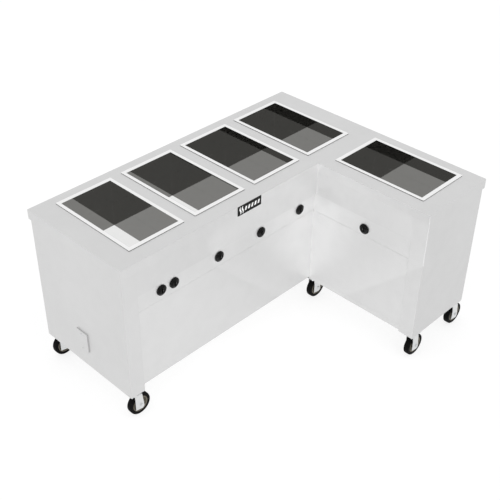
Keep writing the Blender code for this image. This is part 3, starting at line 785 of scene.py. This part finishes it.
def build_recessed_panels():
    """The control strips with their spindle holes, and the plain panels under them."""
    places = {name: knob_frame(name) for name in KNOBS}
    long_holes = [places[name] for name in KNOBS if name != "well_5"]
    short_hole = [places["well_5"]]
    long_face = STRIP_LOW.y
    short_face = SHORT_STRIP_LOW.x
    short_low = SHORT_LOWER_LOW.z
    across = (STRIP_LOW.x, short_face, "X")
    along = (SHORT_STRIP_LOW.y, SHORT_STRIP_HIGH.y, "Y")
    upper = (SEAM_Z + SEAM / 2, STRIP_HIGH.z)
    lower_high = SEAM_Z - SEAM / 2
    strip = swept(bmesh.new(), channel(long_face, *upper), *across)
    cabinet_sheet("control_strip_long", "control_panel_long", strip, STEEL_LONG, holes=long_holes)
    strip = swept(bmesh.new(), channel(short_face, *upper), *along)
    cabinet_sheet("control_strip_short", "control_panel_short", strip, STEEL_SHORT, holes=short_hole)
    panel = swept(bmesh.new(), channel(long_face, LOWER_LOW.z, lower_high), *across)
    cabinet_sheet("lower_front_long", "lower_panel_long", panel, STEEL_LONG)
    section = channel(short_face, short_low, lower_high, short_low + BEAD_HEIGHT)
    panel = swept(bmesh.new(), section, *along)
    cabinet_sheet("lower_front_short", "lower_panel_short", panel, STEEL_SHORT)


def screw_row(shape, start, end, count, axis):
    """Screws spaced evenly between two places, facing along an axis."""
    for step in range(count):
        place = Vector(start).lerp(Vector(end), step / (count - 1))
        truss_screw(shape, facing(place, axis))


def build_cabinet_screws():
    """Screws that hold the back and side panels to their neighbours."""
    inset = 0.012
    from_end = 0.03
    from_side = 0.20
    low_z, high_z = BASE_Z + from_end, SKIRT_Z - from_end
    left_x, right_x = BACK_LOW.x + from_side, BACK_HIGH.x - from_side
    base_z = BASE_Z + inset
    side_y = END + inset
    to_back, to_right = (0, 1, 0), (1, 0, 0)
    shape = bmesh.new()
    for x in (BACK_LOW.x + inset, BACK_HIGH.x - inset):
        screw_row(shape, (x, BODY_BACK, low_z), (x, BODY_BACK, high_z), 5, to_back)
    screw_row(shape, (left_x, BODY_BACK, base_z), (right_x, BODY_BACK, base_z), 7, to_back)
    screw_row(shape, (BODY_RIGHT, side_y, low_z), (BODY_RIGHT, side_y, high_z), 5, to_right)
    piece = smoothed(new_piece("cabinet_screws", shape, SCREW_STEEL), SOFT_ANGLE)
    belongs(piece, CABINET, "stainless_body")


# --- Controls and trim ---


def knob_frame(name):
    """(place, outward axis) of a knob's spindle where it leaves the panel."""
    joint = JOINTS[f"knob_{name}_turn"]
    return Vector(joint["pos_m"]), -Vector(joint["axis"])


def knob_shape():
    """A low knob: a skirt with tick marks, a dished cone, and a finger ridge with a pointer line."""
    shape = bmesh.new()
    spindle = [(0.0030, -0.0200), (0.0030, 0.0020)]
    skirt = [(0.0276, 0.0020), (0.0280, 0.0010), (0.0287, 0.0010), (0.0290, 0.0014)]
    skirt += [(0.0290, 0.0040), (0.0287, 0.0048), (0.0279, 0.0053), (0.0250, 0.0058)]
    cone = [(0.0243, 0.0056), (0.0237, 0.0058), (0.0233, 0.0066), (0.0196, 0.0102), (0.0180, 0.0118)]
    dish = [(0.0168, 0.0124), (0.0155, 0.0126), (0.0143, 0.0124), (0.0120, 0.0119), (0.0010, 0.0117)]
    turned(shape, spindle + skirt + cone + dish, MANY_SIDES)
    half_width, half_length, corner = 0.0040, 0.0120, 0.0036
    ridge = []
    for inset, height in ((0, 0.0110), (0, 0.0150), (0.0005, 0.0160), (0.0014, 0.0165)):
        outline = rounded_box(half_width - inset, half_length - inset, corner - inset, 6)
        ridge.append(level(outline, height))
    stack(shape, ridge)
    mark = [1, 1, 1]
    line = rounded_box(0.0006, 0.0045, 0.0005, 3, (0, 0.0058))
    stack(shape, [level(line, 0.0160), level(line, 0.01665)], mark)
    ticks, sweep = 11, 300
    tick = rounded_box(0.0003, 0.0009, 0.0002, 2, (0, 0.0264))
    for step in range(ticks):
        turn = Matrix.Rotation(math.radians(-sweep / 2 + sweep * step / (ticks - 1)), 4, "Z")
        loops = [level(tick, 0.0050), level(tick, 0.0057)]
        stack(shape, [[turn @ point for point in loop] for loop in loops], mark)
    return shape


def build_knobs():
    """Six knobs, each turned about its spindle's axis with its pointer up at rest."""
    pattern = pattern_of("knob_pattern", knob_shape(), 38, KNOB_BLACK, KNOB_MARK)
    up = Vector((0, 0, 1))
    for name in KNOBS:
        place, axis = knob_frame(name)
        turn = Matrix((up.cross(axis), up, axis)).transposed().to_4x4()
        seat = Matrix.Translation(place) @ turn
        shared(pattern, f"knob_{name}_cap", f"knob_{name}", "black_plastic", seat, f"knob_{name}")
    bpy.data.objects.remove(pattern)


def steam_curl(x, height, half_width):
    """The outline of one rising curl of steam, round the line at x."""
    steps = 16
    sway = 0.0034
    tip = 0.12
    edges = []
    for side in (-1, 1):
        for step in range(steps + 1):
            share = step / steps if side < 0 else 1 - step / steps
            wave = sway * math.sin(share * 2 * math.pi)
            width = half_width * math.sin(math.pi * (tip + (1 - 2 * tip) * share))
            edges.append((x + wave + side * width, (share - 0.5) * height))
    return edges


def build_nameplate():
    """A black plate with a raised rim, two curls of steam and five slanted bars."""
    centre, half = middle("nameplate")
    left = -half.x
    eased, rim, sunk = 0.0004, 0.0018, 0.0004
    shape = bmesh.new()
    loops = []
    for inset, out in ((0, -2 * half.y), (0, -eased), (eased, 0), (rim, 0)):
        loops.append(level(rounded_box(half.x - inset, half.z - inset, 0.0022), out))
    inset = rim + 0.0003
    loops.append(level(rounded_box(half.x - inset, half.z - inset, 0.0015), -sunk))
    stack(shape, loops)
    marks = [steam_curl(x, 0.040, 0.0046) for x in (left + 0.0185, left + 0.0345)]
    first_bar, bar_pitch = left + 0.057, 0.0225
    half_bar, half_height, slant = 0.0055, 0.0105, 0.0028
    for step in range(5):
        x = first_bar + step * bar_pitch
        corners = [
            (x - half_bar - slant, -half_height),
            (x + half_bar - slant, -half_height),
            (x + half_bar + slant, half_height),
            (x - half_bar + slant, half_height),
        ]
        marks.append(fillet(corners, 0.0012, 3))
    for outline in marks:
        stack(shape, [level(outline, -0.0006), level(outline, 0.0002)], [1, 1, 1])
    plate = new_piece("nameplate_blank", shape, PLATE_BLACK, PLATE_WHITE)
    smoothed(plate, SOFT_ANGLE)
    plate.rotation_euler = (math.pi / 2, 0, 0)
    plate.location = (centre.x, centre.y - half.y, centre.z)
    belongs(plate, CABINET, "nameplate_black", "nameplate")


def build_power_cover():
    """The shallow cover low on the left end, with rolled edges and two screws."""
    centre, half = middle("power_inlet_cover")
    depth = 2 * half.x
    roll = 0.0025
    corner, inner_corner = 0.0035, 0.002
    screw_inset, screw_radius = 0.012, 0.0036
    outward = (-1, 0, 0)
    inside = rounded_box(half.y - SHEET, half.z - SHEET, inner_corner)
    loops = [level(inside, depth - SHEET), level(inside, 0)]
    loops.append(level(rounded_box(half.y, half.z, corner), 0))
    for angle in quarter(4):
        inset = roll * (1 - math.cos(angle))
        outline = rounded_box(half.y - inset, half.z - inset, corner)
        loops.append(level(outline, depth - roll + roll * math.sin(angle)))
    shape = stack(bmesh.new(), loops)
    cover = smoothed(new_piece("power_cover_tray", shape, STEEL_LEFT_PAINTED_SHADE))
    cover.matrix_world = facing(centre + Vector((half.x, 0, 0)), outward)
    belongs(cover, CABINET, "cover_steel", "power_inlet_cover")
    screws = bmesh.new()
    for side in (-1, 1):
        place = centre + Vector((-half.x, 0, side * (half.z - screw_inset)))
        truss_screw(screws, facing(place, outward), screw_radius)
    piece = smoothed(new_piece("power_cover_screws", screws, SCREW_STEEL), SOFT_ANGLE)
    belongs(piece, CABINET, "cover_steel")


# --- Casters ---


def plate_shape(half, top_z):
    """A caster's bolted plate with its fixed race, grease groove, king pin and four bolts."""
    seal, fastener = 1, 2
    thickness, corner, edge = 0.004, 0.006, 0.0008
    race_z = 0.1427
    pin_radius, pin_end = 0.0045, 0.1306
    bolt_x, bolt_y = 0.036, 0.022
    washer_radius, washer_height = 0.0068, 0.0013
    under = top_z - thickness
    down = (0, 0, -1)
    shape = bmesh.new()
    loops = []
    for inset, height in ((edge, top_z), (0, top_z - edge), (0, under + edge), (edge, under)):
        loops.append(level(rounded_box(half.x - inset, half.y - inset, corner), height))
    stack(shape, loops)
    race = [
        (0.0245, under + 0.0005),
        (0.0258, under - 0.0015),
        (0.0260, under - 0.0035),
        (0.0240, under - 0.0048),
        (0.0236, race_z + 0.0016),
        (0.0225, race_z + 0.0003),
    ]
    pin = [(pin_radius, race_z + 0.0003), (pin_radius, pin_end), (0.0002, pin_end)]
    turned(shape, race + pin, SOME_SIDES)
    groove = [(0.0232, under - 0.0042), (0.0252, race_z + 0.0012), (0.0220, race_z)]
    turned(shape, groove, SOME_SIDES, slot=seal)
    hex_bolt(shape, facing((0, 0, pin_end + 0.0002), down), 0.013, 0.0022, fastener)
    for x in (-bolt_x, bolt_x):
        for y in (-bolt_y, bolt_y):
            washer(shape, facing((x, y, under), down), washer_radius, washer_height, fastener)
            head = (x, y, under - washer_height + 0.0001)
            hex_bolt(shape, facing(head, down), 0.0100, 0.0045, fastener)
    return shape


def leg_reach(z, top_z):
    """A fork leg's lowest and highest X at a height: upright heel, slanted sole, round toe."""
    heel_x, heel_z = -0.018, 0.0445
    toe_x, toe_z, toe_radius = 0.0205, 0.0522, 0.0152
    crown_x = 0.026
    leaves_toe = 0.003
    above = z - toe_z
    left = heel_x
    if z < heel_z:
        sole_z = toe_z - toe_radius
        left = toe_x + (heel_x - toe_x) * (z - sole_z) / (heel_z - sole_z)
    if above < leaves_toe:
        return left, toe_x + math.sqrt(max(0.0, toe_radius**2 - above**2))
    start = toe_x + math.sqrt(toe_radius**2 - leaves_toe**2)
    share = min(1.0, (above - leaves_toe) / (top_z - toe_z))
    return left, start + (crown_x - start) * share


def fork_strap(crown_low, half_gap):
    """A pressed fork: one strap bent over the wheel, with a hole for the king pin."""
    thickness = 0.003
    bend = 0.005
    hole_radius = 0.006
    columns = 12
    strap_z = crown_low + thickness
    outer_y = half_gap + thickness
    feet = [0.0372, 0.0380, 0.0392, 0.0408, 0.0426, 0.0445, 0.0470, 0.0500, 0.0530, 0.0560, 0.0590]
    rise = strap_z - bend - feet[-1]
    heights = feet + [feet[-1] + rise * step / 8 for step in range(1, 8)]
    path = [(-outer_y, z) for z in heights]
    for angle in quarter(5):
        path.append((-outer_y + bend * (1 - math.cos(angle)), strap_z - bend + bend * math.sin(angle)))
    path += [(-y, z) for y, z in reversed(path)]
    shape = bmesh.new()
    grid = []
    for y, z in path:
        left, right = leg_reach(z, strap_z)
        spread = [left + (right - left) * column / columns for column in range(columns + 1)]
        grid.append([shape.verts.new((x, y, z)) for x in spread])
    for lower, upper in zip(grid, grid[1:]):
        for column in range(columns):
            shape.faces.new((lower[column], lower[column + 1], upper[column + 1], upper[column]))
    strap = new_piece("strap", shape)
    top = sum(face.normal.z for face in strap.data.polygons if abs(face.center.y) < half_gap / 2)
    solid = strap.modifiers.new("Sheet", "SOLIDIFY")
    solid.thickness = thickness
    solid.offset = -1.0 if top > 0 else 1.0
    bevel = strap.modifiers.new("Rounded edges", "BEVEL")
    bevel.width = 0.0007
    bevel.segments = 2
    bevel.limit_method = "ANGLE"
    bevel.angle_limit = math.radians(50)
    return drilled(applied(strap), [((0, 0, strap_z), (0, 0, 1))], hole_radius)


def fork_shape(trail, axle_z):
    """The fork's strap and crown, and the axle bolt with its nut."""
    crown_low = 0.131
    half_gap = 0.0205
    strap_sheet = 0.003
    bolt_radius, thread_radius = 0.0058, 0.0038
    strap = fork_strap(crown_low, half_gap)
    shape = bmesh.new()
    shape.from_mesh(strap.data)
    bpy.data.objects.remove(strap)
    crown = [
        (0.0065, crown_low + 0.002),
        (0.0245, crown_low + 0.002),
        (0.0258, crown_low + 0.0045),
        (0.0262, crown_low + 0.0085),
        (0.0250, crown_low + 0.0108),
        (0.0225, crown_low + 0.0113),
        (0.0065, crown_low + 0.0113),
    ]
    turned(shape, crown, SOME_SIDES, close=True)
    outer = half_gap + strap_sheet
    for side in (-1, 1):
        base = Vector((trail, side * outer, axle_z))
        axis = Vector((0, side, 0))
        washer(shape, facing(base, axis), 0.0105, 0.0014)
        hex_bolt(shape, facing(base + axis * 0.0013, axis), 0.0135, 0.0052)
    thread = [(thread_radius, 0), (thread_radius, 0.0016), (0.0030, 0.0024)]
    turned(shape, thread, 20, facing(base + axis * 0.0060, axis))
    bolt = facing((trail, -outer, axle_z), axis)
    turned(shape, [(bolt_radius, 0), (bolt_radius, 2 * outer)], 24, bolt)
    return shape


def tyre_shape(radius, inner, half):
    """A flat tread with softly rounded shoulders and a bead where it meets the core."""
    bead = [
        (inner, half - 0.0022),
        (inner + 0.0005, half - 0.0009),
        (inner + 0.0018, half - 0.0006),
        (inner + 0.0030, half - 0.0011),
        (inner + 0.0044, half - 0.0006),
    ]
    shoulder = [
        (radius - 0.0042, half - 0.0003),
        (radius - 0.0026, half - 0.0008),
        (radius - 0.0013, half - 0.0020),
        (radius - 0.0006, half - 0.0038),
        (radius - 0.0002, half - 0.0075),
        (radius, half - 0.0120),
    ]
    side = bead + shoulder
    profile = side + [(r, -y) for r, y in reversed(side)]
    return turned(bmesh.new(), profile, MANY_SIDES, close=True)


def hub_shape(radius, half):
    """The wheel's core: rim lip, dished web with ribs, and a boss with a bearing face."""
    shape = bmesh.new()
    boss = [(0.0064, half + 0.0030), (0.0115, half + 0.0030), (0.0124, half + 0.0022)]
    web = [(0.0132, half - 0.0040), (0.0150, half - 0.0072), (0.0340, half - 0.0072)]
    lip = [
        (0.0362, half - 0.0056),
        (0.0376, half - 0.0018),
        (0.0386, half - 0.0010),
        (radius - 0.0010, half - 0.0010),
        (radius, half - 0.0018),
    ]
    side = boss + web + lip
    profile = side + [(r, -y) for r, y in reversed(side)]
    turned(shape, profile, MANY_SIDES, close=True)
    ribs = 10
    rib_centre, half_length, half_width = (0.0243, 0), 0.0112, 0.0011
    for index in range(ribs):
        turn = Matrix.Rotation(2 * math.pi * index / ribs, 4, "Z")
        for end in (-1, 1):
            loops = []
            for inset, height in ((0, half - 0.0076), (0.0002, half - 0.0034), (0.0007, half - 0.0029)):
                outline = rounded_box(half_length, half_width - inset, 0.0003, 2, rib_centre)
                loops.append([turn @ Vector((x, y, end * height)) for x, y in outline])
            stack(shape, loops)
    seal = [(0.0070, half + 0.0026), (0.0100, half + 0.0026), (0.0098, half + 0.0034)]
    seal.append((0.0070, half + 0.0034))
    for angle in (math.pi, 0):
        turned(shape, seal, 40, Matrix.Rotation(angle, 4, "X"), 1, close=True)
    return shape


def build_casters():
    """Six casters: a plate on the cabinet, a fork on its swivel, a tyre and a hub on its axle."""
    plate_centre, plate_half = middle("caster_plate_left_front")
    axle = Vector(JOINTS["wheel_left_front_roll"]["pos_m"])
    trail = axle.x - JOINTS["swivel_left_front"]["pos_m"][0]
    half = middle("tyre_left_front")[1].y + 0.001
    hub_radius = middle("wheel_hub_left_front")[1].x
    metals = (ZINC, DARK_SEAL, BOLT_ZINC)
    plate = pattern_of("plate", plate_shape(plate_half, plate_centre.z + plate_half.z), 35, *metals)
    fork = pattern_of("fork", fork_shape(trail, axle.z), 35, ZINC)
    tyre = pattern_of("tyre", tyre_shape(axle.z, hub_radius + GAP, half), SOFT_ANGLE, TYRE)
    hub = pattern_of("hub", hub_shape(hub_radius, half), 35, HUB, DARK_SEAL)
    across = Matrix.Rotation(math.pi / 2, 4, "X")
    for name in CASTERS:
        x, y, _ = JOINTS[f"swivel_{name}"]["pos_m"]
        upright = Matrix.Translation((x, y, 0))
        roll = Matrix.Translation(JOINTS[f"wheel_{name}_roll"]["pos_m"]) @ across
        swivels, rolls = f"fork_{name}", f"wheel_{name}"
        shared(plate, f"caster_top_{name}", CABINET, "caster_zinc", upright, f"caster_plate_{name}")
        shared(fork, f"caster_yoke_{name}", swivels, "caster_zinc", upright, f"caster_fork_{name}")
        shared(tyre, f"tread_{name}", rolls, "tyre_rubber", roll, f"tyre_{name}")
        shared(hub, f"core_{name}", rolls, "hub_polymer", roll, f"wheel_hub_{name}")
    for pattern in (plate, fork, tyre, hub):
        bpy.data.objects.remove(pattern)


# --- CAD pieces that stay ---


def finish_kept_nodes():
    """Gives the CAD nodes that stay in the model their own finishes."""
    kept = {"base_frame": PRIMER, "bottom_pan": STEEL_LONG}
    for number in range(1, 6):
        kept[f"heating_element_{number}"] = ELEMENT
    for name in KNOBS:
        kept[f"switch_{name}"] = SWITCH_BROWN
    for node, material in kept.items():
        mesh = frame["nodes"][node].data
        mesh.materials.clear()
        mesh.materials.append(material)


# --- Studio ---


SERVER_PLACE = (INNER - 0.65, FRONT - 0.40, 0.0)
SKY_STRENGTH = 1.02
LEFT_PLACE = (-3.4, 0.1, 1.8)
LEFT_TARGET = (0.0, 0.0, 0.5)
LEFT_SIZE = (2.4, 2.4)
LEFT_POWER = 6.0
CORNER_TARGET = Vector((INNER, FRONT, 0.66))
CORNER_OFFSET = Vector((-0.57, -0.57, -0.59)) * 0.42
CORNER_SIZE = (1.1, 0.98)
CORNER_POWER = 1.02
CORNER_SPREAD = 70


def soft_box(name, place, target, size, power, spread):
    """A rectangular soft light at a place, turned to a target, that the camera doesn't see."""
    light = bpy.data.lights.new(name, "AREA")
    light.shape = "RECTANGLE"
    light.size, light.size_y = size
    light.energy = power
    light.spread = math.radians(spread)
    box = bpy.data.objects.new(name, light)
    box.location = place
    box.rotation_euler = (Vector(target) - Vector(place)).to_track_quat("-Z", "Y").to_euler()
    box.visible_camera = False
    bpy.context.scene.collection.objects.link(box)


def build_studio():
    """A pale floor under an even white sky, with soft lights at the left and in the inner corner."""
    floor_reach = 14.0
    shape = bmesh.new()
    corners = level(rectangle((-floor_reach, -floor_reach), (floor_reach, floor_reach)), 0)
    shape.faces.new([shape.verts.new(corner) for corner in corners])
    new_piece("studio_floor", shape, pale_floor("studio_floor", SERVER_PLACE, 1.6))
    world = bpy.data.worlds.new("studio")
    world.use_nodes = True
    background = world.node_tree.nodes["Background"]
    background.inputs["Color"].default_value = (1.0, 1.0, 1.0, 1.0)
    background.inputs["Strength"].default_value = SKY_STRENGTH
    bpy.context.scene.world = world
    soft_box("left_light", LEFT_PLACE, LEFT_TARGET, LEFT_SIZE, LEFT_POWER, 180)
    stand = CORNER_TARGET + CORNER_OFFSET
    soft_box("corner_light", stand, CORNER_TARGET, CORNER_SIZE, CORNER_POWER, CORNER_SPREAD)


def build_camera():
    """The camera: above the left front, looking down on the table."""
    data = bpy.data.cameras.new("camera")
    data.sensor_width = 36.0
    data.lens = 64.96
    data.shift_x = 0.0325
    camera = bpy.data.objects.new("camera", data)
    azimuth = math.radians(-44.90)
    elevation = math.radians(35.92)
    flat = math.cos(elevation)
    back = Vector((math.sin(azimuth) * flat, -math.cos(azimuth) * flat, math.sin(elevation)))
    camera.location = (-2.7934, -2.5971, 3.3502)
    camera.rotation_euler = back.to_track_quat("Z", "Y").to_euler()
    bpy.context.scene.collection.objects.link(camera)
    bpy.context.scene.camera = camera
    bpy.context.scene.view_settings.view_transform = "Standard"


build_camera()
build_studio()
build_countertop()
build_wells()
build_end_panels()
build_back_and_side()
build_apron()
build_recessed_panels()
build_cabinet_screws()
build_knobs()
build_nameplate()
build_power_cover()
build_casters()
finish_kept_nodes()
